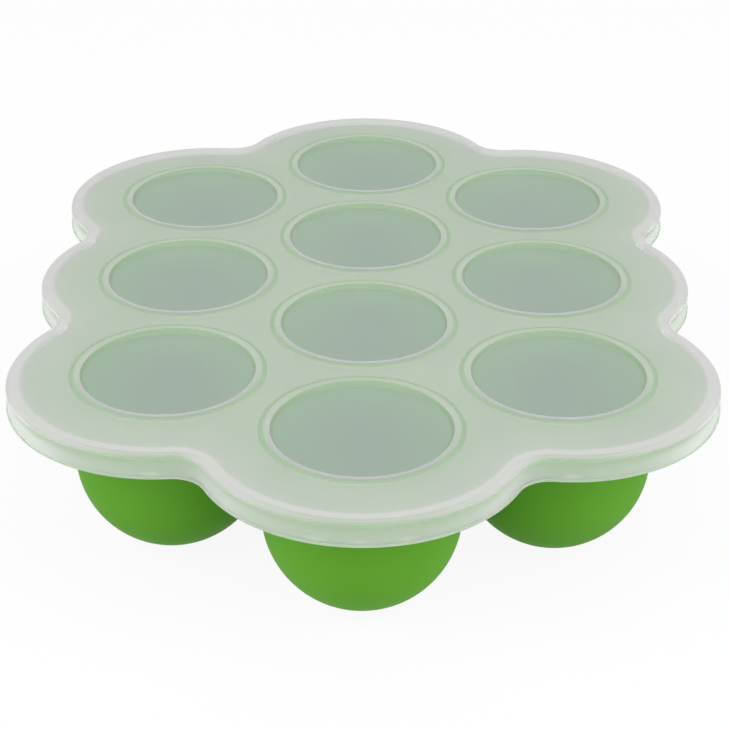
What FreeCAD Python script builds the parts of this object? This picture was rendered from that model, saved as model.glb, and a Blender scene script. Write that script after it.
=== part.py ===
"""Freezer tray for baby food: a silicone tray with ten round cups and its clip-on lid.

Frame: millimetres, +Z up, +Y from the front cup to the back one. The origin is on the
surface that the tray stands on, under the middle of the cup pattern.
"""
import math
import os

import FreeCAD
import Part

# ---- driving dimensions: the pattern of the cups -------------------------------------
CUP_GAP = 4.7               # between the outsides of two cups of one column
COLUMN_GAP = 6.24           # between the outsides of two cups of neighbouring columns
MIDDLE_COLUMN_CUPS = 4
SIDE_COLUMN_CUPS = 3

# ---- driving dimensions: the tray ----------------------------------------------------
CUP_INNER_RADIUS = 20.9     # bore of a cup, and the inside of its round bottom
CUP_WALL = 2.0              # silicone wall, the same on the side and the bottom
CUP_SIDE_HEIGHT = 20.15     # straight side, from the round bottom up to the flange's top
CUP_FOOT_RADIUS = 6.5       # small flat that each cup stands on
FLANGE_THICKNESS = 3.0
FLANGE_CHAMFER = 0.6        # top and bottom edge of the flange
NECK_CHAMFER = 1.2          # between the flange's underside and a cup
RIM_WIDTH = 1.6             # low rim round each mouth, which carries the lid
RIM_HEIGHT = 0.5
MOUTH_CHAMFER = 0.4         # inner edge of the rim, where a cup's mouth opens

# ---- driving dimensions: the lid -----------------------------------------------------
LID_BORDER = 14.6           # from the outside of an outer cup to the outside of the skirt
LID_NOTCH_RADIUS = 8.0      # outside of the skirt, in the hollow between two lobes
LID_PLATE = 1.3             # thickness of the top plate
LID_WALL = 1.3              # thickness of the skirt
LID_SKIRT_DEPTH = 6.1       # from the top of the plate to the bottom of the skirt
LID_EDGE_ROUND = 1.4        # where the plate turns into the skirt
LIP_HEIGHT = 0.6            # thin lip that runs round the bottom of the skirt
LIP_PROUD = 0.3
RIDGE_OVERHANG = 0.5        # a low ridge lies round each cup's mouth, from just inside its bore
RIDGE_WIDTH = 2.7
RIDGE_HEIGHT = 0.3
RECESS_DEPTH = 0.8          # from the top of the plate down to the sunk disk
RECESS_SLOPE = 0.7          # how far the step down to the disk runs inwards
BEAD_LENGTH = 4.5           # snap beads inside the skirt, at the front and at the back
BEAD_PROUD = 0.7
BEAD_HEIGHT = 1.4
BEAD_ANGLE = 15.0           # from one bead of an end lobe to the next, in degrees
BEADS_PER_END = 3

# ---- clearances ----------------------------------------------------------------------
SEAT_GAP = 0.15             # between the flange and the plate: the lid bears on the rims
PLUG_CLEARANCE = 0.3        # between the lid's sunk disk and the bore of a cup
RIM_CLEARANCE = 0.3         # between the outside of a rim and the groove over it in the lid
BEAD_CLEARANCE = 0.3        # between a snap bead and the flange's edge

# ---- sizes worked out from those above -----------------------------------------------
CUP_OUTER_RADIUS = CUP_INNER_RADIUS + CUP_WALL
CUP_PITCH = 2 * CUP_OUTER_RADIUS + CUP_GAP
COLUMN_SPACING = math.sqrt((2 * CUP_OUTER_RADIUS + COLUMN_GAP) ** 2 - (CUP_PITCH / 2) ** 2)
CUP_CENTRE_Z = math.sqrt(CUP_OUTER_RADIUS ** 2 - CUP_FOOT_RADIUS ** 2)
FLANGE_TOP_Z = CUP_CENTRE_Z + CUP_SIDE_HEIGHT
FLANGE_BOTTOM_Z = FLANGE_TOP_Z - FLANGE_THICKNESS
RIM_TOP_Z = FLANGE_TOP_Z + RIM_HEIGHT
PLATE_BOTTOM_Z = FLANGE_TOP_Z + SEAT_GAP
LID_TOP_Z = PLATE_BOTTOM_Z + LID_PLATE
SKIRT_BOTTOM_Z = LID_TOP_Z - LID_SKIRT_DEPTH
LID_LOBE_RADIUS = CUP_OUTER_RADIUS + LID_BORDER
NOTCH_CENTRE_DISTANCE = LID_LOBE_RADIUS + LID_NOTCH_RADIUS
SKIRT_INNER_LOBE_RADIUS = LID_LOBE_RADIUS - LID_WALL
BEAD_LOBE_RADIUS = SKIRT_INNER_LOBE_RADIUS - BEAD_PROUD
FLANGE_LOBE_RADIUS = BEAD_LOBE_RADIUS - BEAD_CLEARANCE
RIM_OUTER_RADIUS = CUP_INNER_RADIUS + RIM_WIDTH
GROOVE_RADIUS = RIM_OUTER_RADIUS + RIM_CLEARANCE
PLUG_RADIUS = CUP_INNER_RADIUS - PLUG_CLEARANCE
RIDGE_INNER_RADIUS = CUP_INNER_RADIUS - RIDGE_OVERHANG
RIDGE_OUTER_RADIUS = RIDGE_INNER_RADIUS + RIDGE_WIDTH
UP = FreeCAD.Vector(0, 0, 1)
TOLERANCE = 1e-6


# ---- the pattern and the lobed outline -----------------------------------------------
def column(x, count):
    """Return the centres of the cups of one column, from front to back."""
    first = -(count - 1) / 2 * CUP_PITCH
    return [FreeCAD.Vector(x, first + i * CUP_PITCH, 0) for i in range(count)]


def cup_centres():
    """Return the centres of all the cups."""
    return (column(-COLUMN_SPACING, SIDE_COLUMN_CUPS)
            + column(0, MIDDLE_COLUMN_CUPS)
            + column(COLUMN_SPACING, SIDE_COLUMN_CUPS))


def lobe_centres():
    """Return the centres of the outer cups, counterclockwise from the front one."""
    middle = column(0, MIDDLE_COLUMN_CUPS)
    right = column(COLUMN_SPACING, SIDE_COLUMN_CUPS)
    left = column(-COLUMN_SPACING, SIDE_COLUMN_CUPS)
    return [middle[0]] + right + [middle[-1]] + left[::-1]


def notch_centre(first, second):
    """Return the centre of the hollow arc between the lobes round two centres."""
    along = second - first
    outwards = along.cross(UP).normalize()
    reach = math.sqrt(NOTCH_CENTRE_DISTANCE ** 2 - (along.Length / 2) ** 2)
    return (first + second) / 2 + outwards * reach


def arc(centre, radius, start, middle, end):
    """Return an arc edge round a centre, through three directions from it."""
    points = [centre + direction * radius for direction in (start, middle, end)]
    return Part.Arc(*points).toShape()


def outline(lobe_radius, z):
    """Return the closed lobed outline with the given lobe radius, at height z.

    Every such outline has the same centres, so that two of them lie evenly apart.
    """
    centres = [centre + UP * z for centre in lobe_centres()]
    following = centres[1:] + centres[:1]
    notches = [notch_centre(a, b) for a, b in zip(centres, following)]
    edges = []
    for i, centre in enumerate(centres):
        before = (notches[i - 1] - centre).normalize()
        after = (notches[i] - centre).normalize()
        middle = (before + after).normalize()
        if before.cross(after).z < 0:
            middle = middle * -1
        edges.append(arc(centre, lobe_radius, before, middle, after))
        inwards = ((centre + following[i]) / 2 - notches[i]).normalize()
        onwards = (following[i] - notches[i]).normalize()
        edges.append(arc(notches[i], NOTCH_CENTRE_DISTANCE - lobe_radius, after * -1, inwards, onwards))
    return Part.Wire(edges)


# ---- shapes that both pieces use -----------------------------------------------------
def slab(lobe_radius, bottom, top):
    """Return an upright solid with the lobed outline between two heights."""
    return Part.Face(outline(lobe_radius, bottom)).extrude(UP * (top - bottom))


def edges_at(shape, z):
    """Return the edges of a shape that lie at height z."""
    return [edge for edge in shape.Edges
            if abs(edge.BoundBox.ZMin - z) < TOLERANCE and abs(edge.BoundBox.ZMax - z) < TOLERANCE]


def circles_at(shape, radius, z):
    """Return the round edges of a shape with a given radius that lie at height z."""
    return [edge for edge in edges_at(shape, z)
            if edge.Curve.TypeId == "Part::GeomCircle" and abs(edge.Curve.Radius - radius) < TOLERANCE]


def turned(points, angle=360):
    """Return the solid that a closed profile of (radius, z) points makes round the Z axis."""
    vectors = [FreeCAD.Vector(radius, 0, z) for radius, z in points]
    profile = Part.Face(Part.makePolygon(vectors + vectors[:1]))
    return profile.revolve(FreeCAD.Vector(), UP, angle)


def cylinder(radius, bottom, top):
    """Return an upright cylinder round the Z axis between two heights."""
    return Part.makeCylinder(radius, top - bottom, UP * bottom)


def at_every_cup(shape):
    """Return a copy of a shape at every cup."""
    return [shape.translated(centre) for centre in cup_centres()]


# ---- the tray ------------------------------------------------------------------------
def cup_body(radius, flat_z):
    """Return a solid cup: a straight side on a round bottom that is cut flat at flat_z."""
    ball = Part.makeSphere(radius, UP * CUP_CENTRE_Z).common(cylinder(radius * 2, flat_z, CUP_CENTRE_Z))
    return ball.fuse(cylinder(radius, CUP_CENTRE_Z, FLANGE_TOP_Z)).removeSplitter()


def mouth_rim():
    """Return the low rim round a cup's mouth, which carries the lid."""
    return turned([(CUP_INNER_RADIUS, FLANGE_BOTTOM_Z), (RIM_OUTER_RADIUS, FLANGE_BOTTOM_Z),
                   (RIM_OUTER_RADIUS, RIM_TOP_Z), (CUP_INNER_RADIUS + MOUTH_CHAMFER, RIM_TOP_Z),
                   (CUP_INNER_RADIUS, RIM_TOP_Z - MOUTH_CHAMFER)])


def make_tray():
    """Return the silicone tray: a lobed flange with round cups below it."""
    flange = slab(FLANGE_LOBE_RADIUS, FLANGE_BOTTOM_Z, FLANGE_TOP_Z)
    edges = edges_at(flange, FLANGE_TOP_Z) + edges_at(flange, FLANGE_BOTTOM_Z)
    flange = flange.makeChamfer(FLANGE_CHAMFER, edges)
    tray = flange.multiFuse(at_every_cup(cup_body(CUP_OUTER_RADIUS, 0))).removeSplitter()
    tray = tray.makeChamfer(NECK_CHAMFER, circles_at(tray, CUP_OUTER_RADIUS, FLANGE_BOTTOM_Z))
    tray = tray.cut(at_every_cup(cup_body(CUP_INNER_RADIUS, CUP_WALL)))
    return tray.multiFuse(at_every_cup(mouth_rim())).removeSplitter()


# ---- the lid -------------------------------------------------------------------------
def cup_cover():
    """Return the part of the lid over one cup: a low ridge round a sunk disk."""
    disk_z = LID_TOP_Z - RECESS_DEPTH
    ridge_z = LID_TOP_Z + RIDGE_HEIGHT
    return turned([(0, disk_z), (RIDGE_INNER_RADIUS - RECESS_SLOPE, disk_z),
                   (RIDGE_INNER_RADIUS, ridge_z), (RIDGE_OUTER_RADIUS, ridge_z),
                   (RIDGE_OUTER_RADIUS, PLATE_BOTTOM_Z), (GROOVE_RADIUS, PLATE_BOTTOM_Z),
                   (GROOVE_RADIUS, RIM_TOP_Z), (PLUG_RADIUS, RIM_TOP_Z),
                   (PLUG_RADIUS, disk_z - LID_PLATE), (0, disk_z - LID_PLATE)])


def snap_bead(centre, angle):
    """Return one snap bead inside the skirt, at an angle in degrees round a lobe's centre."""
    low = SKIRT_BOTTOM_Z + LIP_HEIGHT
    root = SKIRT_INNER_LOBE_RADIUS + LID_WALL / 2
    sweep = math.degrees(BEAD_LENGTH / BEAD_LOBE_RADIUS)
    bead = turned([(root, low), (SKIRT_INNER_LOBE_RADIUS, low), (BEAD_LOBE_RADIUS, low + BEAD_HEIGHT / 2),
                   (SKIRT_INNER_LOBE_RADIUS, low + BEAD_HEIGHT), (root, low + BEAD_HEIGHT)], sweep)
    bead.rotate(FreeCAD.Vector(), UP, angle - sweep / 2)
    return bead.translated(centre)


def snap_beads():
    """Return the snap beads: a row at the lobe at each end and one at each corner lobe."""
    middle = column(0, MIDDLE_COLUMN_CUPS)
    right = column(COLUMN_SPACING, SIDE_COLUMN_CUPS)
    left = column(-COLUMN_SPACING, SIDE_COLUMN_CUPS)
    beads = []
    for end, facing in ((0, -90), (-1, 90)):
        first = facing - (BEADS_PER_END - 1) / 2 * BEAD_ANGLE
        beads += [snap_bead(middle[end], first + i * BEAD_ANGLE) for i in range(BEADS_PER_END)]
        beads += [snap_bead(centre, facing) for centre in (right[end], left[end])]
    return beads


def make_lid():
    """Return the clip-on lid: plate, skirt, lip, snap beads and a cover over each cup."""
    lid = slab(LID_LOBE_RADIUS, SKIRT_BOTTOM_Z, LID_TOP_Z)
    lid = lid.makeFillet(LID_EDGE_ROUND, edges_at(lid, LID_TOP_Z))
    lip = slab(LID_LOBE_RADIUS + LIP_PROUD, SKIRT_BOTTOM_Z, SKIRT_BOTTOM_Z + LIP_HEIGHT)
    hollow = slab(SKIRT_INNER_LOBE_RADIUS, SKIRT_BOTTOM_Z, PLATE_BOTTOM_Z)
    holes = at_every_cup(cylinder(RIDGE_OUTER_RADIUS, PLATE_BOTTOM_Z, LID_TOP_Z))
    lid = lid.fuse(lip).cut([hollow] + holes)
    return lid.multiFuse(at_every_cup(cup_cover()) + snap_beads()).removeSplitter()


def main():
    """Make each node and write it to its own file."""
    os.makedirs("parts", exist_ok=True)
    nodes = {"tray": make_tray(), "lid": make_lid()}
    for name, shape in nodes.items():
        box = shape.BoundBox
        print(name, "valid", shape.isValid(), "solids", len(shape.Solids), "faces", len(shape.Faces),
              "volume", round(shape.Volume, 1), "size", round(box.XLength, 2), round(box.YLength, 2),
              round(box.ZLength, 2), "from z", round(box.ZMin, 2))
        shape.exportStep("parts/" + name + ".step")
    print("overlap of tray and lid", round(nodes["tray"].common(nodes["lid"]).Volume, 4))


main()
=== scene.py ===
"""Looks of a silicone freezer tray for baby food, with its clip-on lid.

Both pieces are shaped in millimetres, round the middle of the cup pattern, and are
brought to the frame's metres when they are finished.
"""
import logging
import math
from dataclasses import dataclass, field
from enum import Enum
from typing import Callable, Iterable, NamedTuple

import bmesh
import bpy
from bmesh.types import BMEdge, BMesh, BMVert
from mathutils import Matrix, Vector


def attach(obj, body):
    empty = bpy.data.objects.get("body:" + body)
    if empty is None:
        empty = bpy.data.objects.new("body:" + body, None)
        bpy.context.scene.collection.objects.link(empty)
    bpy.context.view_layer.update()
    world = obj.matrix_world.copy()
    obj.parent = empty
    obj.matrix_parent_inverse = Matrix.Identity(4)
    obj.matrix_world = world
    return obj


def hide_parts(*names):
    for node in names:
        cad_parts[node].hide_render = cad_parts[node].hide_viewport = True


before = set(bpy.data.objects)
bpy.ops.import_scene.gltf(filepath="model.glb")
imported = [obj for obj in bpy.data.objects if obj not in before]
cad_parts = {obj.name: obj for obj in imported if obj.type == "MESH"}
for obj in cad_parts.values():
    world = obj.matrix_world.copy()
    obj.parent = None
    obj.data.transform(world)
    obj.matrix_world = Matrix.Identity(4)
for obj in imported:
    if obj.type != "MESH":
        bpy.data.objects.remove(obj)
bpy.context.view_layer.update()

LOG = logging.getLogger("freezer_tray")
MILK = "milk"  # attribute: how milky the plastic is at a point
UP = Vector((0.0, 0.0, 1.0))
MM = 0.001  # a millimetre in the frame's metres
MERGE_DISTANCE = 0.002  # millimetres
LEVEL_TOLERANCE = 0.0005  # millimetres
WALL_TOLERANCE = 0.02  # millimetres
SHARP_ANGLE = math.radians(40.0)  # an edge that turns more keeps its crease
WHITE = (1.0, 1.0, 1.0, 1.0)


class Slot(Enum):
    """The record's material slots."""

    SILICONE = "silicone"
    LID_PLASTIC = "lid_plastic"


class Body(Enum):
    """The bodies that a piece can ride on."""

    TRAY = "tray"
    LID = "lid"


class LidZone(Enum):
    """The lid's finishes, each with the number of its material."""

    PLATE = 0
    DISK = 1
    RING = 2
    SKIRT = 3


class Corner(NamedTuple):
    """One corner of a profile, in millimetres."""

    reach: float  # from the axis or, on an outline, from a lobe's centre
    height: float
    rounding: float = 0.0  # how far the rounding starts from the corner

    def moved(self, reach: float, height: float) -> "Corner":
        """The same corner, moved outwards and up."""
        return Corner(reach + self.reach, height + self.height, self.rounding)


class Ramp(NamedTuple):
    """A value that changes over a range and is level outside it."""

    start: float
    end: float
    first: float = 0.0
    last: float = 1.0


Colour = tuple[float, float, float, float]
Place = tuple[float, float, float]
Geometry = list[BMVert | BMEdge]
Steps = tuple[tuple[float, float], ...]  # pairs of a place and its value
MilkRule = Callable[[float, float], float]  # milkiness at a reach and a height
ZoneRule = Callable[[float], LidZone]  # finish at a reach or at a height


def between(steps: Steps, place: float) -> float:
    """Read a value off a row of steps, in a straight line from one to the next.

    Args:
        steps: Pairs of a place and its value, with rising places.
        place: Where to read.

    Returns:
        The value there, or that of the nearest end.
    """
    if place <= steps[0][0]:
        return steps[0][1]
    for (low, first), (high, last) in zip(steps, steps[1:]):
        if place <= high:
            return first + (last - first) * (place - low) / (high - low)
    return steps[-1][1]


def bearing(direction: Vector) -> float:
    """Give a vector's angle from +X, counterclockwise from above, in radians."""
    return math.atan2(direction.y, direction.x)


def vertices_of(geometry: Iterable[object]) -> list[BMVert]:
    """Pick the vertices out of a mix of vertices, edges and faces."""
    return [item for item in geometry if isinstance(item, BMVert)]


# ---- the cup pattern and the lobed outline -------------------------------------------
@dataclass(frozen=True)
class Pattern:
    """Where the cups stand, and the lobed outlines round them, in millimetres."""

    cup_inner_radius: float = 20.9
    cup_wall: float = 2.0
    cup_gap: float = 4.7  # between two cups of one column
    column_gap: float = 6.24  # between two cups of neighbouring columns
    lid_border: float = 14.6  # from a cup's outside to the outside of the lid's skirt
    lid_wall: float = 1.3
    bead_proud: float = 0.7
    bead_clearance: float = 0.3  # between a snap bead and the flange's edge
    notch_radius: float = 8.0  # outside of the skirt, between two lobes
    middle_cups: int = 4
    side_cups: int = 3

    @property
    def cup_outer_radius(self) -> float:
        """Outside of a cup's straight side."""
        return self.cup_inner_radius + self.cup_wall

    @property
    def pitch(self) -> float:
        """From cup to cup within one column."""
        return 2.0 * self.cup_outer_radius + self.cup_gap

    @property
    def column_spacing(self) -> float:
        """From one column to the next."""
        slant = 2.0 * self.cup_outer_radius + self.column_gap
        return math.sqrt(slant ** 2 - (self.pitch / 2.0) ** 2)

    @property
    def lobe_radius(self) -> float:
        """Outside of the skirt, round an outer cup."""
        return self.cup_outer_radius + self.lid_border

    @property
    def skirt_inner_radius(self) -> float:
        """Inside of the skirt, round an outer cup."""
        return self.lobe_radius - self.lid_wall

    @property
    def flange_radius(self) -> float:
        """Edge of the tray's flange, round an outer cup."""
        return self.skirt_inner_radius - self.bead_proud - self.bead_clearance

    @property
    def notch_distance(self) -> float:
        """From a lobe's centre to that of the hollow beside it."""
        return self.lobe_radius + self.notch_radius

    @property
    def left_column(self) -> list[Vector]:
        """The centres of the left column's cups, from front to back."""
        return self.column(-self.column_spacing, self.side_cups)

    @property
    def middle_column(self) -> list[Vector]:
        """The centres of the middle column's cups, from front to back."""
        return self.column(0.0, self.middle_cups)

    @property
    def right_column(self) -> list[Vector]:
        """The centres of the right column's cups, from front to back."""
        return self.column(self.column_spacing, self.side_cups)

    def column(self, x: float, count: int) -> list[Vector]:
        """Place a column of cups at x, and give their centres from front to back."""
        first = -(count - 1) / 2.0 * self.pitch
        return [Vector((x, first + i * self.pitch, 0.0)) for i in range(count)]

    def cup_centres(self) -> list[Vector]:
        """The centres of all the cups."""
        return self.left_column + self.middle_column + self.right_column

    def lobe_centres(self) -> list[Vector]:
        """The centres of the outer cups, counterclockwise from the front one."""
        middle = self.middle_column
        return [middle[0]] + self.right_column + [middle[-1]] + self.left_column[::-1]

    def notch_centre(self, first: Vector, second: Vector) -> Vector:
        """Place the hollow between two lobes.

        Args:
            first: Centre of one lobe.
            second: Centre of the next lobe, counterclockwise.

        Returns:
            The centre of the hollow's arc.
        """
        along = second - first
        reach = math.sqrt(self.notch_distance ** 2 - (along.length / 2.0) ** 2)
        return (first + second) / 2.0 + along.cross(UP).normalized() * reach


# ---- shaping with bmesh --------------------------------------------------------------
@dataclass
class Shaper:
    """Builds one closed shell from swept and turned profiles."""

    pattern: Pattern
    round_steps: int = 5  # segments in the rounding of one corner
    cup_steps: int = 96  # segments round a cup
    lobe_step: float = math.radians(2.5)
    notch_step: float = math.radians(5.0)
    bm: BMesh = field(default_factory=bmesh.new)

    def __post_init__(self) -> None:
        """Give the shell its milkiness attribute while it has no vertices yet."""
        self.bm.verts.layers.float.new(MILK)

    def profile(self, corners: Iterable[Corner], milk: MilkRule | None = None) -> Geometry:
        """Add an open profile in the XZ plane and round its corners.

        Args:
            corners: The profile's corners in order.
            milk: How milky the plastic is at a reach and a height.

        Returns:
            The vertices and edges of the rounded profile.
        """
        corners = list(corners)
        known = set(self.bm.verts) | set(self.bm.edges)
        verts = [self.bm.verts.new((corner.reach, 0.0, corner.height)) for corner in corners]
        for pair in zip(verts, verts[1:]):
            self.bm.edges.new(pair)
        for vert, corner in zip(verts, corners):
            if corner.rounding > 0.0:
                bmesh.ops.bevel(self.bm, geom=[vert], offset=corner.rounding,
                                offset_type="OFFSET", segments=self.round_steps, profile=0.5,
                                affect="VERTICES", material=-1)
        items = list(self.bm.verts) + list(self.bm.edges)
        added = [item for item in items if item not in known]
        if milk:
            layer = self.bm.verts.layers.float[MILK]
            for vert in vertices_of(added):
                vert[layer] = milk(vert.co.x, vert.co.z)
        return added

    def spin(self, geometry: Geometry, centre: Vector, angle: float, steps: int,
             closed: bool = False) -> Geometry:
        """Turn a profile round an upright axis.

        Args:
            geometry: The vertices and edges of the profile.
            centre: A point on the axis.
            angle: How far it turns, counterclockwise, in radians.
            steps: How many segments the turn has.
            closed: Whether the turn meets its own start.

        Returns:
            The vertices and edges of the profile at the end of the turn.
        """
        result = bmesh.ops.spin(self.bm, geom=geometry, cent=centre, axis=UP, angle=angle,
                                steps=steps, use_merge=closed)
        return result["geom_last"]

    def sweep_outline(self, corners: Iterable[Corner], milk: MilkRule | None = None,
                      zone: ZoneRule | None = None) -> None:
        """Sweep a profile round the lobed outline, as arcs round the lobes and the notches.

        Args:
            corners: The profile's corners, with lobe radii for their reaches.
            milk: How milky the plastic is at a reach and a height.
            zone: Which finish a face has at a height.
        """
        known = set(self.bm.faces)
        centres = self.pattern.lobe_centres()
        following = centres[1:] + centres[:1]
        notches = [self.pattern.notch_centre(a, b) for a, b in zip(centres, following)]
        geometry = self.profile(corners, milk)
        start = Matrix.Rotation(bearing(notches[-1] - centres[0]), 4, UP)
        bmesh.ops.transform(self.bm, matrix=Matrix.Translation(centres[0]) @ start,
                            verts=vertices_of(geometry))
        for i, centre in enumerate(centres):
            turn = (bearing(notches[i] - centre) - bearing(notches[i - 1] - centre)) % math.tau
            geometry = self.spin(geometry, centre, turn, math.ceil(turn / self.lobe_step))
            turn = (bearing(centre - notches[i]) - bearing(following[i] - notches[i])) % math.tau
            geometry = self.spin(geometry, notches[i], -turn, math.ceil(turn / self.notch_step))
        if zone:
            for face in (face for face in self.bm.faces if face not in known):
                face.material_index = zone(face.calc_center_median().z).value
        self.merge()

    def turn_at_cups(self, *profiles: Iterable[Corner], milk: MilkRule | None = None,
                     zone: ZoneRule | None = None) -> None:
        """Turn profiles round the axis of every cup.

        Args:
            profiles: The corners of each profile.
            milk: How milky the plastic is at a reach and a height.
            zone: Which finish a face has at a distance from the axis.
        """
        known_verts, known_faces = set(self.bm.verts), set(self.bm.faces)
        for corners in profiles:
            self.spin(self.profile(corners, milk), Vector(), math.tau, self.cup_steps, closed=True)
        verts = [vert for vert in self.bm.verts if vert not in known_verts]
        faces = [face for face in self.bm.faces if face not in known_faces]
        if zone:
            for face in faces:
                face.material_index = zone(face.calc_center_median().xy.length).value
        first, *others = self.pattern.cup_centres()
        for centre in others:
            copy = bmesh.ops.duplicate(self.bm, geom=verts + faces)
            bmesh.ops.translate(self.bm, vec=centre, verts=vertices_of(copy["geom"]))
        bmesh.ops.translate(self.bm, vec=first, verts=verts)
        self.merge()

    def fill_level(self, height: float) -> None:
        """Close the flat surface between the open edges at one height."""
        rim = [edge for edge in self.bm.edges if edge.is_boundary
               and all(abs(vert.co.z - height) < LEVEL_TOLERANCE for vert in edge.verts)]
        bmesh.ops.triangle_fill(self.bm, use_beauty=True, use_dissolve=False, edges=rim,
                                normal=UP)

    def merge(self) -> None:
        """Merge the vertices that lie on each other."""
        bmesh.ops.remove_doubles(self.bm, verts=self.bm.verts, dist=MERGE_DISTANCE)

    def finish(self, name: str) -> bpy.types.Object:
        """Make the shell an object in metres.

        Args:
            name: The object's name.

        Returns:
            The object, at the origin and smooth shaded.
        """
        self.merge()
        bmesh.ops.recalc_face_normals(self.bm, faces=self.bm.faces)
        bmesh.ops.scale(self.bm, vec=Vector((MM, MM, MM)), verts=self.bm.verts)
        open_edges = sum(1 for edge in self.bm.edges if not edge.is_manifold)
        for face in self.bm.faces:
            face.smooth = True
        mesh = bpy.data.meshes.new(name)
        self.bm.to_mesh(mesh)
        self.bm.free()
        mesh.set_sharp_from_angle(angle=SHARP_ANGLE)
        piece = bpy.data.objects.new(name, mesh)
        bpy.context.scene.collection.objects.link(piece)
        LOG.info("%s: %d faces, %d open edges", name, len(mesh.polygons), open_edges)
        return piece


# ---- nodes ---------------------------------------------------------------------------
class NodeGraph:
    """Adds and joins the nodes of one node tree."""

    COLOUR_MIX_INPUTS = (0, 6, 7)  # of a Mix node: the share and the two colours
    COLOUR_MIX_RESULT = 2

    def __init__(self, tree: bpy.types.NodeTree) -> None:
        """Start on a tree, which is emptied first."""
        self.tree = tree
        tree.nodes.clear()

    def feed(self, socket: bpy.types.NodeSocket, value: object) -> None:
        """Set an input to a value, or join it to a socket.

        Args:
            socket: The input.
            value: A number, a colour or an output socket.
        """
        if isinstance(value, bpy.types.NodeSocket):
            self.tree.links.new(value, socket)
        else:
            socket.default_value = value

    def feed_all(self, sockets: Iterable[bpy.types.NodeSocket], values: Iterable[object]) -> None:
        """Feed a row of inputs, as far as there are values."""
        for socket, value in zip(sockets, values):
            self.feed(socket, value)

    def add(self, kind: str, settings: dict[str, object] | None = None,
            **inputs: object) -> bpy.types.Node:
        """Add a node.

        Args:
            kind: The node's type name.
            settings: Properties of the node itself.
            inputs: Values or sockets for its inputs, with _ for a space in a name.

        Returns:
            The new node.
        """
        node = self.tree.nodes.new(kind)
        for key, value in (settings or {}).items():
            setattr(node, key, value)
        for key, value in inputs.items():
            self.feed(node.inputs[key.replace("_", " ")], value)
        return node

    def maths(self, operation: str, *values: object, clamp: bool = False) -> bpy.types.NodeSocket:
        """Add a Math node.

        Args:
            operation: What it works out.
            values: Its numbers or sockets, in order.
            clamp: Whether its result stays between 0 and 1.

        Returns:
            Its result.
        """
        node = self.add("ShaderNodeMath", {"operation": operation, "use_clamp": clamp})
        self.feed_all(node.inputs, values)
        return node.outputs[0]

    def vector_maths(self, operation: str, *values: object) -> bpy.types.NodeSocket:
        """Add a Vector Math node.

        Args:
            operation: What it works out.
            values: Its vectors or sockets, in order.

        Returns:
            Its result.
        """
        node = self.add("ShaderNodeVectorMath", {"operation": operation})
        self.feed_all(node.inputs, values)
        return node.outputs[0]

    def ramped(self, value: object, ramp: Ramp, smooth: bool = False) -> bpy.types.NodeSocket:
        """Add a Map Range node.

        Args:
            value: What runs along the ramp.
            ramp: The range, and the result at either end.
            smooth: Whether the ramp is eased at its ends.

        Returns:
            Its result.
        """
        kind = {"interpolation_type": "SMOOTHSTEP" if smooth else "LINEAR"}
        node = self.add("ShaderNodeMapRange", kind, Value=value, From_Min=ramp.start,
                        From_Max=ramp.end, To_Min=ramp.first, To_Max=ramp.last)
        return node.outputs[0]

    def mixed(self, share: object, first: object, second: object) -> bpy.types.NodeSocket:
        """Add a mix of two colours.

        Args:
            share: How much of the second colour there is.
            first: One colour, or its socket.
            second: The other.

        Returns:
            The mixed colour.
        """
        node = self.add("ShaderNodeMix", {"data_type": "RGBA"})
        sockets = (node.inputs[place] for place in self.COLOUR_MIX_INPUTS)
        self.feed_all(sockets, (share, first, second))
        return node.outputs[self.COLOUR_MIX_RESULT]

    def mixed_shaders(self, share: object, first: bpy.types.Node,
                      second: bpy.types.Node) -> bpy.types.NodeSocket:
        """Add a mix of two shaders.

        Args:
            share: How much of the second shader there is.
            first: One shader's node.
            second: The other's.

        Returns:
            The mixed shader.
        """
        node = self.add("ShaderNodeMixShader")
        self.feed_all(node.inputs, (share, first.outputs[0], second.outputs[0]))
        return node.outputs[0]


def new_group(name: str, inputs: dict[str, str],
              outputs: dict[str, str]) -> tuple[bpy.types.NodeTree, NodeGraph]:
    """Make an empty shader group.

    Args:
        name: The group's name.
        inputs: Socket type for each input name.
        outputs: Socket type for each output name.

    Returns:
        The group and its graph.
    """
    tree = bpy.data.node_groups.new(name, "ShaderNodeTree")
    for direction, sockets in (("INPUT", inputs), ("OUTPUT", outputs)):
        for socket_name, kind in sockets.items():
            tree.interface.new_socket(name=socket_name, in_out=direction, socket_type=kind)
    return tree, NodeGraph(tree)


# ---- effects that the finishes share -------------------------------------------------
BROAD_SCALE = 38.0  # of the slow change in a surface's roughness
CLOUD_COVER = Ramp(0.35, 0.68)  # of the noise, from no cloud to a full one
NOISE_MIDDLE = 0.5


def moulded_grain_group() -> bpy.types.NodeTree:
    """Make the satin grain that a blasted mould leaves on a surface.

    Returns:
        A group that turns object coordinates into a height and a roughness.
    """
    tree, graph = new_group(
        "moulded_grain",
        {"Vector": "NodeSocketVector", "Grain Scale": "NodeSocketFloat",
         "Roughness": "NodeSocketFloat", "Spread": "NodeSocketFloat"},
        {"Height": "NodeSocketFloat", "Roughness": "NodeSocketFloat"})
    given = graph.add("NodeGroupInput").outputs
    fine = graph.add("ShaderNodeTexNoise", Vector=given["Vector"], Scale=given["Grain Scale"],
                     Detail=3.0, Roughness=0.6)
    broad = graph.add("ShaderNodeTexNoise", Vector=given["Vector"], Scale=BROAD_SCALE,
                      Detail=4.0, Roughness=0.55)
    centred = graph.maths("SUBTRACT", broad.outputs["Fac"], NOISE_MIDDLE)
    varied = graph.maths("MULTIPLY_ADD", centred, given["Spread"], given["Roughness"], clamp=True)
    graph.add("NodeGroupOutput", Height=fine.outputs["Fac"], Roughness=varied)
    return tree


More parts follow.
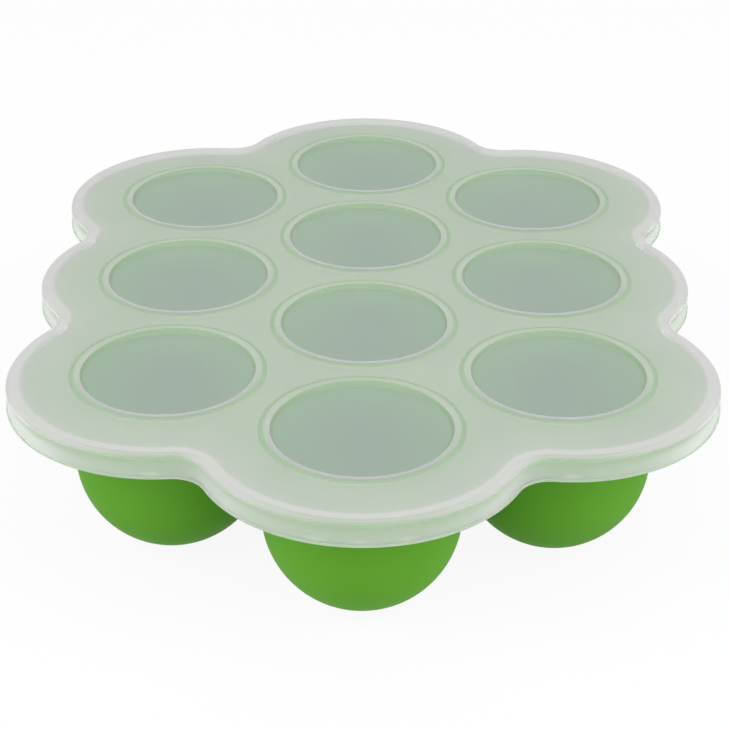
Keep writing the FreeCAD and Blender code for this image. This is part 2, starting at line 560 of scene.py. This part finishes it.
def cloudy_colour_group() -> bpy.types.NodeTree:
    """Make the faint unevenness of a pigmented plastic.

    Returns:
        A group that blends two colours in soft clouds.
    """
    tree, graph = new_group(
        "cloudy_colour",
        {"Vector": "NodeSocketVector", "Cloud Scale": "NodeSocketFloat",
         "Colour": "NodeSocketColor", "Cloud Colour": "NodeSocketColor"},
        {"Colour": "NodeSocketColor"})
    given = graph.add("NodeGroupInput").outputs
    clouds = graph.add("ShaderNodeTexNoise", Vector=given["Vector"], Scale=given["Cloud Scale"],
                       Detail=2.0, Roughness=0.5)
    mask = graph.ramped(clouds.outputs["Fac"], CLOUD_COVER, smooth=True)
    colour = graph.mixed(mask, given["Colour"], given["Cloud Colour"])
    graph.add("NodeGroupOutput", Colour=colour)
    return tree


@dataclass(frozen=True)
class Effects:
    """The node groups that the finishes share."""

    grain: bpy.types.NodeTree = field(default_factory=moulded_grain_group)
    clouds: bpy.types.NodeTree = field(default_factory=cloudy_colour_group)


# ---- finishes ------------------------------------------------------------------------
@dataclass(frozen=True)
class Grain:
    """The satin grain of one kind of piece."""

    scale: float
    depth: float  # millimetres
    roughness_spread: float
    strength: float = 0.6


@dataclass(frozen=True, kw_only=True)
class MouldedFinish:
    """A moulded surface with faint clouds in its colour and a satin grain."""

    name: str
    colour: Colour
    cloud_colour: Colour
    grain: Grain
    roughness: float
    ior: float
    specular: float = 0.5
    transmission: float = 0.0
    light_share: float = 0.0  # how much light passes straight through to what lies below
    cloud_scale: float = 45.0

    def dress(self, graph: NodeGraph,
              colour: bpy.types.NodeSocket) -> tuple[bpy.types.NodeSocket, object]:
        """Give the surface's colour and how opaque it is: here as it comes, and opaque."""
        return colour, 1.0

    def let_light_through(self, graph: NodeGraph, opacity: object) -> object:
        """Make the surface clearer to the light that falls on what lies below it.

        Args:
            graph: The material's graph.
            opacity: How opaque the surface looks.

        Returns:
            How opaque it is to each kind of ray.
        """
        if not self.light_share:
            return opacity
        path = graph.add("ShaderNodeLightPath").outputs
        light = graph.maths("MAXIMUM", path["Is Shadow Ray"], path["Is Diffuse Ray"])
        kept = graph.maths("MULTIPLY_ADD", light, -self.light_share, 1.0)
        return graph.maths("MULTIPLY", opacity, kept)

    def material(self, effects: Effects) -> bpy.types.Material:
        """Build the material.

        Args:
            effects: The shared node groups.

        Returns:
            The material.
        """
        made = bpy.data.materials.new(self.name)
        made.use_nodes = True
        graph = NodeGraph(made.node_tree)
        place = graph.add("ShaderNodeTexCoord").outputs["Object"]
        clouds = graph.add("ShaderNodeGroup", {"node_tree": effects.clouds}, Vector=place,
                           Cloud_Scale=self.cloud_scale, Colour=self.colour,
                           Cloud_Colour=self.cloud_colour)
        grain = graph.add("ShaderNodeGroup", {"node_tree": effects.grain}, Vector=place,
                          Grain_Scale=self.grain.scale, Roughness=self.roughness,
                          Spread=self.grain.roughness_spread)
        bump = graph.add("ShaderNodeBump", Height=grain.outputs["Height"],
                         Distance=self.grain.depth * MM, Strength=self.grain.strength)
        colour, opacity = self.dress(graph, clouds.outputs["Colour"])
        shader = graph.add("ShaderNodeBsdfPrincipled", Base_Color=colour,
                           Roughness=grain.outputs["Roughness"], Normal=bump.outputs["Normal"],
                           IOR=self.ior, Specular_IOR_Level=self.specular,
                           Transmission_Weight=self.transmission,
                           Alpha=self.let_light_through(graph, opacity))
        graph.add("ShaderNodeOutputMaterial", Surface=shader.outputs["BSDF"])
        return made


@dataclass(frozen=True, kw_only=True)
class MilkyFinish(MouldedFinish):
    """Plastic that hides more of what lies below where it is milkier or seen aslant."""

    thick_colour: Colour
    # Painted light: the more upright a face stands, the more of this paler colour it gets.
    painted_light_upright_colour: Colour
    thick_milk: Ramp = Ramp(1.2, 1.8)  # where the plastic counts as thick
    slope_gain: float = 4.0  # low slopes are read steeper, so that the ridges show
    straight_way: Ramp = Ramp(0.05, 0.4, -0.6, 0.0)  # change in the way through, by facing
    slanting_way: Ramp = Ramp(0.67, 1.0, 0.0, 0.7)

    def opacity(self, graph: NodeGraph, milk: bpy.types.NodeSocket,
                normal: bpy.types.NodeSocket) -> bpy.types.NodeSocket:
        """Work out how opaque the surface is from its milkiness and the way through it.

        Args:
            graph: The material's graph.
            milk: The milkiness.
            normal: The surface's normal.

        Returns:
            A socket with 1 - exp(-milk * way).
        """
        gain = (self.slope_gain, self.slope_gain, 1.0)
        steeper = graph.vector_maths("NORMALIZE", graph.vector_maths("MULTIPLY", normal, gain))
        facing = graph.add("ShaderNodeLayerWeight", Blend=0.5, Normal=steeper).outputs["Facing"]
        straight = graph.ramped(facing, self.straight_way)
        slanting = graph.ramped(facing, self.slanting_way)
        way = graph.maths("ADD", graph.maths("ADD", straight, slanting), 1.0)
        depth = graph.maths("MULTIPLY", milk, way)
        return graph.maths("SUBTRACT", 1.0, graph.maths("POWER", math.exp(-1.0), depth))

    def dress(self, graph: NodeGraph,
              colour: bpy.types.NodeSocket) -> tuple[bpy.types.NodeSocket, object]:
        """Paint walls paler as painted light, change the colour in thick plastic, and make the
        surface milky.

        Args:
            graph: The material's graph.
            colour: The cloudy colour.

        Returns:
            The surface's colour and how opaque it is.
        """
        milk = graph.add("ShaderNodeAttribute", {"attribute_name": MILK}).outputs["Fac"]
        normal = graph.add("ShaderNodeNewGeometry").outputs["Normal"]
        upward = graph.add("ShaderNodeSeparateXYZ", Vector=normal).outputs["Z"]
        # Painted light: walls get the paler colour by how upright they stand.
        upright = graph.maths("SUBTRACT", 1.0, graph.maths("ABSOLUTE", upward))
        colour = graph.mixed(upright, colour, self.painted_light_upright_colour)
        colour = graph.mixed(graph.ramped(milk, self.thick_milk), colour, self.thick_colour)
        return colour, self.opacity(graph, milk, normal)


@dataclass(frozen=True, kw_only=True)
class BeadedFinish(MouldedFinish):
    """Frosted plastic that is paler where the snap beads lie behind it."""

    bead_colour: Colour

    def dress(self, graph: NodeGraph,
              colour: bpy.types.NodeSocket) -> tuple[bpy.types.NodeSocket, object]:
        """Mix the beads' colour in where the milk attribute marks them."""
        milk = graph.add("ShaderNodeAttribute", {"attribute_name": MILK}).outputs["Fac"]
        return graph.mixed(milk, colour, self.bead_colour), 1.0


SILICONE_GRAIN = Grain(scale=2600.0, depth=0.02, roughness_spread=0.12)
LID_GRAIN = Grain(scale=2100.0, depth=0.005, roughness_spread=0.10)
SILICONE = MouldedFinish(
    name="green_silicone", colour=(0.116, 0.362, 0.022, 1.0),
    cloud_colour=(0.124, 0.376, 0.026, 1.0), grain=SILICONE_GRAIN,
    roughness=0.6, ior=1.41, specular=0.18)
LID_FINISHES = {
    LidZone.PLATE: MilkyFinish(
        name="milky_plate", colour=(0.58, 0.585, 0.59, 1.0),
        cloud_colour=(0.595, 0.60, 0.60, 1.0), thick_colour=(0.60, 0.60, 0.59, 1.0),
        # Painted light: upright faces are made paler with this colour.
        painted_light_upright_colour=(0.84, 0.84, 0.83, 1.0), grain=LID_GRAIN,
        roughness=0.42, ior=1.45, specular=0.08, light_share=0.7),
    LidZone.DISK: MouldedFinish(
        name="frosted_disk", colour=(0.74, 0.83, 0.83, 1.0),
        cloud_colour=(0.76, 0.84, 0.84, 1.0), grain=LID_GRAIN,
        roughness=0.45, ior=1.45, transmission=0.69, light_share=0.95),
    # The ring's green tint is painted light: the green glow of the tray below it, put into the
    # plastic's colour.
    LidZone.RING: MouldedFinish(
        name="frosted_ring", colour=(0.59, 0.665, 0.59, 1.0),
        cloud_colour=(0.60, 0.675, 0.60, 1.0), grain=LID_GRAIN,
        roughness=0.6, ior=1.3, specular=0.08, transmission=0.5, light_share=0.95),
    # The skirt's green tint is painted light: the green glow of the tray behind it, put into the
    # plastic's colour.
    LidZone.SKIRT: BeadedFinish(
        name="frosted_skirt", colour=(0.775, 0.825, 0.77, 1.0),
        cloud_colour=(0.785, 0.835, 0.78, 1.0), bead_colour=(0.97, 0.98, 0.97, 1.0),
        grain=LID_GRAIN, roughness=0.6, ior=1.3, specular=0.08, transmission=0.65,
        light_share=0.95),
}


# ---- the two pieces ------------------------------------------------------------------
@dataclass
class SiliconeTray:
    """The one-piece tray: a lobed flange with round-bottomed cups below it."""

    pattern: Pattern
    effects: Effects
    cup_side: float = 20.15  # straight side, up to the flange's top
    side_ring: float = 4.0  # height of the side's lowest ring above the ball's centre
    bowl_steps: int = 28  # segments from the side to the foot
    foot_radius: float = 6.5
    foot_share: float = 0.8  # where a ring lies on the flat in the middle
    flange: float = 3.0
    flange_rounding: float = 0.9
    flange_strip: float = 1.8  # flat strip beside a rounding, which carries its shading
    neck_rounding: float = 1.8  # between the flange's underside and a cup
    neck_strip: float = 2.15
    rim_width: float = 1.6
    rim_height: float = 0.5
    rim_rounding: float = 0.2
    rim_strip: float = 0.8
    mouth_rounding: float = 0.6

    @property
    def ball_height(self) -> float:
        """Height of the centre of a cup's round bottom."""
        return math.sqrt(self.pattern.cup_outer_radius ** 2 - self.foot_radius ** 2)

    @property
    def top(self) -> float:
        """Height of the flange's top."""
        return self.ball_height + self.cup_side

    @property
    def bottom(self) -> float:
        """Height of the flange's underside."""
        return self.top - self.flange

    @property
    def rim_top(self) -> float:
        """Height of the rim round each mouth."""
        return self.top + self.rim_height

    def edge_profile(self) -> list[Corner]:
        """The flange's edge, from its top to its underside."""
        edge = self.pattern.flange_radius
        inset = edge - self.flange_strip
        return [Corner(inset, self.top), Corner(edge, self.top, self.flange_rounding),
                Corner(edge, self.bottom, self.flange_rounding), Corner(inset, self.bottom)]

    def bowl(self, radius: float, lowest: float) -> list[Corner]:
        """The round bottom of a cup, from its side down to its middle.

        Args:
            radius: Radius of the ball and of the side.
            lowest: Height of the flat in the middle.

        Returns:
            The corners of the profile.
        """
        last = math.acos((self.ball_height - lowest) / radius)
        step = (math.pi / 2.0 - last) / self.bowl_steps
        angles = [math.pi / 2.0 - i * step for i in range(self.bowl_steps + 1)]
        arc = [Corner(radius * math.sin(angle), self.ball_height - radius * math.cos(angle))
               for angle in angles]
        return [Corner(radius, self.ball_height + self.side_ring), *arc,
                Corner(arc[-1].reach * self.foot_share, lowest), Corner(0.0, lowest)]

    def inner_profile(self) -> list[Corner]:
        """The rim and the inside of a cup, from the flange's top inwards."""
        bore = self.pattern.cup_inner_radius
        rim = bore + self.rim_width
        return [Corner(rim + self.rim_strip, self.top), Corner(rim, self.top, self.rim_rounding),
                Corner(rim, self.rim_top, self.rim_rounding),
                Corner(bore, self.rim_top, self.mouth_rounding),
                *self.bowl(bore, self.pattern.cup_wall)]

    def outer_profile(self) -> list[Corner]:
        """The outside of a cup, from the flange's underside down."""
        side = self.pattern.cup_outer_radius
        return [Corner(side + self.neck_strip, self.bottom),
                Corner(side, self.bottom, self.neck_rounding), *self.bowl(side, 0.0)]

    def build(self) -> bpy.types.Object:
        """Build the tray and dress it.

        Returns:
            The tray's object.
        """
        shaper = Shaper(self.pattern)
        shaper.sweep_outline(self.edge_profile())
        shaper.turn_at_cups(self.inner_profile(), self.outer_profile())
        shaper.fill_level(self.top)
        shaper.fill_level(self.bottom)
        piece = shaper.finish("silicone_tray")
        piece.data.materials.append(SILICONE.material(self.effects))
        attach(piece, Body.TRAY.value)
        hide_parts("tray")
        return piece


@dataclass
class ClipOnLid:
    """The translucent lid: plate, skirt with its lip and beads, and a cover on each cup."""

    pattern: Pattern
    effects: Effects
    tray: SiliconeTray

    # The plate and the skirt.
    plate: float = 1.3
    seat_gap: float = 0.15  # between the flange and the plate
    skirt_depth: float = 6.1
    edge_rounding: float = 1.4
    edge_strip: float = 1.8  # from the skirt's outside to the last ring on the plate
    side_rows: tuple[float, ...] = (-3.9, -4.2, -4.5, -4.8, -5.1, -5.3)  # outside, from the top
    lip_height: float = 0.6
    lip_proud: float = 0.27
    lip_rounding: float = 0.14
    lip_root_rounding: float = 0.12
    inner_edge_rounding: float = 0.2  # lower edge of the skirt's inside
    inner_rounding: float = 0.6  # between the skirt's inside and the plate's underside
    inner_rows: int = 10  # rings that shape the snap beads
    inner_first_row: float = 0.35  # from the skirt's lower edge
    inner_row_step: float = 0.25
    under_rings: tuple[float, ...] = (0.8, 1.4, 2.0)  # on the underside, from the skirt inwards

    # The snap beads.
    bead_length: float = 4.5
    bead_height: float = 1.4
    bead_angle: float = math.radians(15.0)
    beads_per_end: int = 3

    # The cover on a cup. Each row of corners runs inwards, and is measured from the place named.
    ridge_overhang: float = 0.5  # from a cup's bore inwards to the ridge
    ridge_width: float = 2.7
    ridge_height: float = 0.3
    ridge_foot: tuple[Corner, ...] = (  # the ridge's outside, at the plate's top
        Corner(0.9, 0.0), Corner(-0.1, 0.0, 0.15))
    ridge_crest: tuple[Corner, ...] = (  # the ridge's inside, at its crest
        Corner(1.7, 0.0, 0.2), Corner(0.8, -0.07), Corner(0.4, -0.1), Corner(0.1, -0.12, 0.2))
    recess_depth: float = 0.8
    recess_slope: float = 0.7  # from the ridge's inside to the disk
    disk_edge: tuple[Corner, ...] = (  # the edge of the disk's top
        Corner(0.1, 0.0, 0.3), Corner(-0.4, 0.0))
    plug_clearance: float = 0.3  # between the plug and a cup's bore
    plug_rounding: float = 0.15
    plug_edge: tuple[Corner, ...] = (  # the plug's side, at its underside
        Corner(-0.2, 0.0, 0.35), Corner(-1.2, 0.0))
    rim_clearance: float = 0.3  # between a rim and the groove over it
    rim_gap: float = 0.02  # keeps the groove's ceiling off the rim it bears on
    groove_rounding: float = 0.3
    groove_mouth: tuple[Corner, ...] = (  # the groove's outside, at the plate's underside
        Corner(1.4, 0.0), Corner(0.9, 0.0, 0.3))

    # Milkiness of the plastic, as a value or as pairs of a place and a value.
    edge_milk: Steps = ((-6.4, 1.15), (-5.0, 1.2), (-4.0, 1.25), (-3.4, 1.5), (-2.8, 2.8))
    corner_milk: Steps = ((-1.4, 0.0), (-0.85, 0.62), (-0.35, 2.8))
    inner_milk: Steps = ((-3.9, 0.85), (-3.0, 0.4), (-1.4, 0.4), (-1.2, 0.1))
    ridge_milk: Steps = ((0.0, 1.6), (0.3, 1.3), (1.5, 1.2), (2.9, 1.1))
    under_milk: float = 0.1
    groove_milk: float = 0.05
    bead_milk: float = 1.0

    # Where the finishes change.
    skirt_frost: float = 0.9  # drop from the plate's top to the skirt's finish
    slope_start: float = 1.52  # from the ridge's inside to its outer slope
    reach_slack: float = 0.05  # how far off its wall a place still counts as on it
    height_slack: float = 0.01

    @property
    def under(self) -> float:
        """Height of the plate's underside."""
        return self.tray.top + self.seat_gap

    @property
    def top(self) -> float:
        """Height of the plate's top."""
        return self.under + self.plate

    @property
    def disk_top(self) -> float:
        """Height of a sunk disk's top."""
        return self.top - self.recess_depth

    @property
    def skirt_bottom(self) -> float:
        """Height of the skirt's lower edge."""
        return self.top - self.skirt_depth

    @property
    def ridge_inside(self) -> float:
        """Inner radius of a ridge."""
        return self.pattern.cup_inner_radius - self.ridge_overhang

    def outer_profile(self) -> list[Corner]:
        """The plate's border and the outside of the skirt, down to its lower edge."""
        outside = self.pattern.lobe_radius
        lip = outside + self.lip_proud
        lip_top = self.skirt_bottom + self.lip_height
        return [*(Corner(outside + inset, self.top) for inset, _ in self.edge_milk),
                Corner(outside - self.edge_strip, self.top),
                Corner(outside, self.top, self.edge_rounding),
                *(Corner(outside, self.top + drop) for drop in self.side_rows),
                Corner(outside, lip_top, self.lip_root_rounding),
                Corner(lip, lip_top, self.lip_rounding),
                Corner(lip, self.skirt_bottom, self.lip_rounding),
                Corner(outside - self.pattern.lid_wall / 2.0, self.skirt_bottom)]

    def inner_profile(self) -> list[Corner]:
        """The inside of the skirt, from its lower edge up to the plate's underside."""
        inside = self.pattern.skirt_inner_radius
        first = self.skirt_bottom + self.inner_first_row
        return [Corner(inside + self.pattern.lid_wall / 2.0, self.skirt_bottom),
                Corner(inside, self.skirt_bottom, self.inner_edge_rounding),
                *(Corner(inside, first + i * self.inner_row_step) for i in range(self.inner_rows)),
                Corner(inside, self.under, self.inner_rounding),
                *(Corner(inside - inset, self.under) for inset in self.under_rings)]

    def cover_top(self) -> list[Corner]:
        """The ridge and the sunk disk over a cup, from the plate inwards."""
        outside = self.ridge_inside + self.ridge_width
        crest = self.top + self.ridge_height
        disk = self.ridge_inside - self.recess_slope
        return [*(corner.moved(outside, self.top) for corner in self.ridge_foot),
                *(corner.moved(self.ridge_inside, crest) for corner in self.ridge_crest),
                *(corner.moved(disk, self.disk_top) for corner in self.disk_edge),
                Corner(0.0, self.disk_top)]

    def cover_underside(self) -> list[Corner]:
        """The groove and the plug under a disk, from the plate inwards."""
        bore = self.pattern.cup_inner_radius
        groove = bore + self.tray.rim_width + self.rim_clearance
        plug = bore - self.plug_clearance
        ceiling = self.tray.rim_top + self.rim_gap
        lowest = self.disk_top - self.plate
        return [*(corner.moved(groove, self.under) for corner in self.groove_mouth),
                Corner(groove, ceiling, self.groove_rounding),
                Corner(plug, ceiling, self.plug_rounding),
                *(corner.moved(plug, lowest) for corner in self.plug_edge),
                Corner(0.0, lowest)]

    def milk_at_edge(self, reach: float, height: float) -> float:
        """Milkiness of the plate's border and of the skirt.

        Args:
            reach: Lobe radius of the place.
            height: Height of the place.

        Returns:
            The milkiness.
        """
        inset, drop = reach - self.pattern.lobe_radius, height - self.top
        if inset < self.reach_slack - self.pattern.lid_wall and drop < -self.plate / 2.0:
            return between(self.inner_milk, drop)
        if inset < -self.edge_rounding - self.reach_slack:
            return between(self.edge_milk, inset)
        return between(self.corner_milk, drop)

    def milk_at_cup(self, reach: float, height: float) -> float:
        """Milkiness of the ridge and the plug at a cup.

        Args:
            reach: Distance from the cup's axis.
            height: Height of the place.

        Returns:
            The milkiness.
        """
        inside = self.ridge_inside + self.ridge_crest[-1].reach
        on_ridge = height > self.top - self.height_slack
        on_disk = reach < inside and height > self.disk_top - self.height_slack
        if on_ridge or on_disk:
            return between(self.ridge_milk, reach - self.ridge_inside)
        return self.groove_milk if reach > inside else self.under_milk

    def zone_at_edge(self, height: float) -> LidZone:
        """Which finish the border and the outside of the skirt have at a height."""
        return LidZone.SKIRT if height < self.top - self.skirt_frost else LidZone.PLATE

    def zone_at_cup(self, reach: float) -> LidZone:
        """Which finish the top has at a cup.

        Args:
            reach: Distance from the cup's axis.

        Returns:
            The finish's zone.
        """
        from_ridge = reach - self.ridge_inside
        if from_ridge < -self.recess_slope:
            return LidZone.DISK
        if from_ridge < 0.0 or self.slope_start < from_ridge < self.ridge_width + self.reach_slack:
            return LidZone.RING
        return LidZone.PLATE

    def bead_places(self) -> list[tuple[Vector, float]]:
        """The snap beads: the lobe's centre and the bearing of each."""
        pattern = self.pattern
        places = []
        for end, facing in ((0, -math.pi / 2.0), (-1, math.pi / 2.0)):
            first = facing - (self.beads_per_end - 1) / 2.0 * self.bead_angle
            places += [(pattern.middle_column[end], first + i * self.bead_angle)
                       for i in range(self.beads_per_end)]
            places += [(pattern.right_column[end], facing), (pattern.left_column[end], facing)]
        return places

    def press_beads(self, shaper: Shaper) -> None:
        """Push the snap beads out of the skirt's inside, and mark both its sides there.

        Args:
            shaper: The shaper that holds the lid's shell.
        """
        middle = self.skirt_bottom + self.lip_height + self.bead_height / 2.0
        inner = self.pattern.skirt_inner_radius
        layer = shaper.bm.verts.layers.float[MILK]
        band = [vert for vert in shaper.bm.verts
                if abs(vert.co.z - middle) < self.bead_height / 2.0]
        for centre, facing in self.bead_places():
            for vert in band:
                arm = Vector((vert.co.x - centre.x, vert.co.y - centre.y, 0.0))
                inside = abs(arm.length - inner) < WALL_TOLERANCE
                if not inside and abs(arm.length - self.pattern.lobe_radius) > WALL_TOLERANCE:
                    continue
                turn = (bearing(arm) - facing + math.pi) % math.tau - math.pi
                across = turn * inner / (self.bead_length / 2.0)
                upwards = (vert.co.z - middle) / (self.bead_height / 2.0)
                swell = 1.0 - across ** 2 - upwards ** 2
                if swell <= 0.0:
                    continue
                vert[layer] += self.bead_milk * swell
                if inside:
                    vert.co -= arm.normalized() * self.pattern.bead_proud * math.sqrt(swell)

    def build(self) -> bpy.types.Object:
        """Build the lid and dress it.

        Returns:
            The lid's object.
        """
        shaper = Shaper(self.pattern)
        shaper.sweep_outline(self.outer_profile(), self.milk_at_edge, self.zone_at_edge)
        shaper.sweep_outline(self.inner_profile(), self.milk_at_edge)
        self.press_beads(shaper)
        shaper.turn_at_cups(self.cover_top(), milk=self.milk_at_cup, zone=self.zone_at_cup)
        shaper.turn_at_cups(self.cover_underside(), milk=self.milk_at_cup)
        shaper.fill_level(self.top)
        shaper.fill_level(self.under)
        piece = shaper.finish("clip_on_lid")
        for zone in LidZone:
            piece.data.materials.append(LID_FINISHES[zone].material(self.effects))
        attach(piece, Body.LID.value)
        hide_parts("lid")
        return piece


# ---- the studio ----------------------------------------------------------------------
class Lamp(NamedTuple):
    """A square lamp that faces the tray."""

    name: str
    place: Place  # metres
    size: float  # metres
    power: float  # watts


@dataclass
class Studio:
    """White floor, soft light and the camera."""

    aim: Place = (0.282, -46.833, 43.4)  # millimetres
    distance: float = 418.99  # millimetres
    elevation: float = 0.504975  # radians
    yaw: float = 0.005882
    roll: float = 0.003758
    lens: float = 88.054  # millimetres
    sensor: float = 36.0  # millimetres
    nearest: float = 0.01  # metres
    floor_size: float = 6.0  # metres
    floor_drop: float = 0.0002  # metres, between the feet of the cups and the floor
    floor_albedo: float = 0.9
    white_share: float = 0.92  # how much of the floor is plain white to the camera
    world_light: float = 0.4
    lamps: tuple[Lamp, ...] = (
        Lamp("top_lamp", (0.1, 0.1, 1.3), 0.9, 3.6),
        Lamp("left_lamp", (-0.8, -0.5, 0.8), 0.7, 6.5),
        Lamp("right_lamp", (0.8, -0.5, 0.8), 0.7, 6.5))

    def seen_mask(self, graph: NodeGraph) -> bpy.types.NodeSocket:
        """Add a mask of the rays that see the white background.

        Args:
            graph: The graph that gets the nodes.

        Returns:
            A socket that is 1 for camera, glossy and transmission rays.
        """
        path = graph.add("ShaderNodeLightPath").outputs
        direct = graph.maths("MAXIMUM", path["Is Camera Ray"], path["Is Glossy Ray"])
        return graph.maths("MAXIMUM", direct, path["Is Transmission Ray"])

    def floor_material(self) -> bpy.types.Material:
        """Make the white floor, which keeps a soft shadow.

        Returns:
            The material.
        """
        made = bpy.data.materials.new("studio_white")
        made.use_nodes = True
        graph = NodeGraph(made.node_tree)
        albedo = self.floor_albedo
        diffuse = graph.add("ShaderNodeBsdfDiffuse", Color=(albedo, albedo, albedo, 1.0))
        glow = graph.add("ShaderNodeEmission", Color=WHITE, Strength=1.0)
        share = graph.maths("MULTIPLY", self.seen_mask(graph), self.white_share)
        surface = graph.mixed_shaders(share, diffuse, glow)
        graph.add("ShaderNodeOutputMaterial", Surface=surface)
        return made

    def add_floor(self) -> None:
        """Lay the floor under the tray."""
        bm = bmesh.new()
        bmesh.ops.create_grid(bm, x_segments=1, y_segments=1, size=self.floor_size / 2.0)
        mesh = bpy.data.meshes.new("floor")
        bm.to_mesh(mesh)
        bm.free()
        floor = bpy.data.objects.new("floor", mesh)
        floor.location.z = -self.floor_drop
        floor.data.materials.append(self.floor_material())
        bpy.context.scene.collection.objects.link(floor)

    def add_world(self) -> None:
        """Make the soft dome, white where it is seen."""
        world = bpy.data.worlds.new("studio")
        world.use_nodes = True
        bpy.context.scene.world = world
        graph = NodeGraph(world.node_tree)
        dome = graph.add("ShaderNodeBackground", Color=WHITE, Strength=self.world_light)
        seen = graph.add("ShaderNodeBackground", Color=WHITE, Strength=1.0)
        surface = graph.mixed_shaders(self.seen_mask(graph), dome, seen)
        graph.add("ShaderNodeOutputWorld", Surface=surface)

    def add_lamp(self, lamp: Lamp) -> None:
        """Hang a lamp.

        Args:
            lamp: The lamp's name, place, size and power.
        """
        light = bpy.data.lights.new(lamp.name, "AREA")
        light.shape = "SQUARE"
        light.size = lamp.size
        light.energy = lamp.power
        hung = bpy.data.objects.new(lamp.name, light)
        hung.location = lamp.place
        hung.rotation_euler = (-Vector(lamp.place)).to_track_quat("-Z", "Y").to_euler()
        bpy.context.scene.collection.objects.link(hung)

    def add_camera(self) -> None:
        """Set up the camera."""
        data = bpy.data.cameras.new("camera")
        data.lens = self.lens
        data.sensor_width = self.sensor
        data.clip_start = self.nearest
        camera = bpy.data.objects.new("camera", data)
        turn = (Matrix.Rotation(self.yaw, 4, "Z")
                @ Matrix.Rotation(math.pi / 2.0 - self.elevation, 4, "X")
                @ Matrix.Rotation(self.roll, 4, "Z"))
        back = turn.to_3x3() @ Vector((0.0, 0.0, self.distance))
        camera.matrix_world = Matrix.Translation((Vector(self.aim) + back) * MM) @ turn
        bpy.context.scene.collection.objects.link(camera)
        bpy.context.scene.camera = camera

    def build(self) -> None:
        """Set the studio up."""
        bpy.context.scene.view_settings.view_transform = "Standard"
        self.add_floor()
        self.add_world()
        for lamp in self.lamps:
            self.add_lamp(lamp)
        self.add_camera()


def main() -> None:
    """Build the tray, the lid and the studio."""
    logging.basicConfig(level=logging.INFO)
    pattern = Pattern()
    effects = Effects()
    tray = SiliconeTray(pattern, effects)
    for piece in (tray.build(), ClipOnLid(pattern, effects, tray).build()):
        LOG.info("built %s", piece.name)
    Studio().build()


if __name__ == "__main__":
    main()
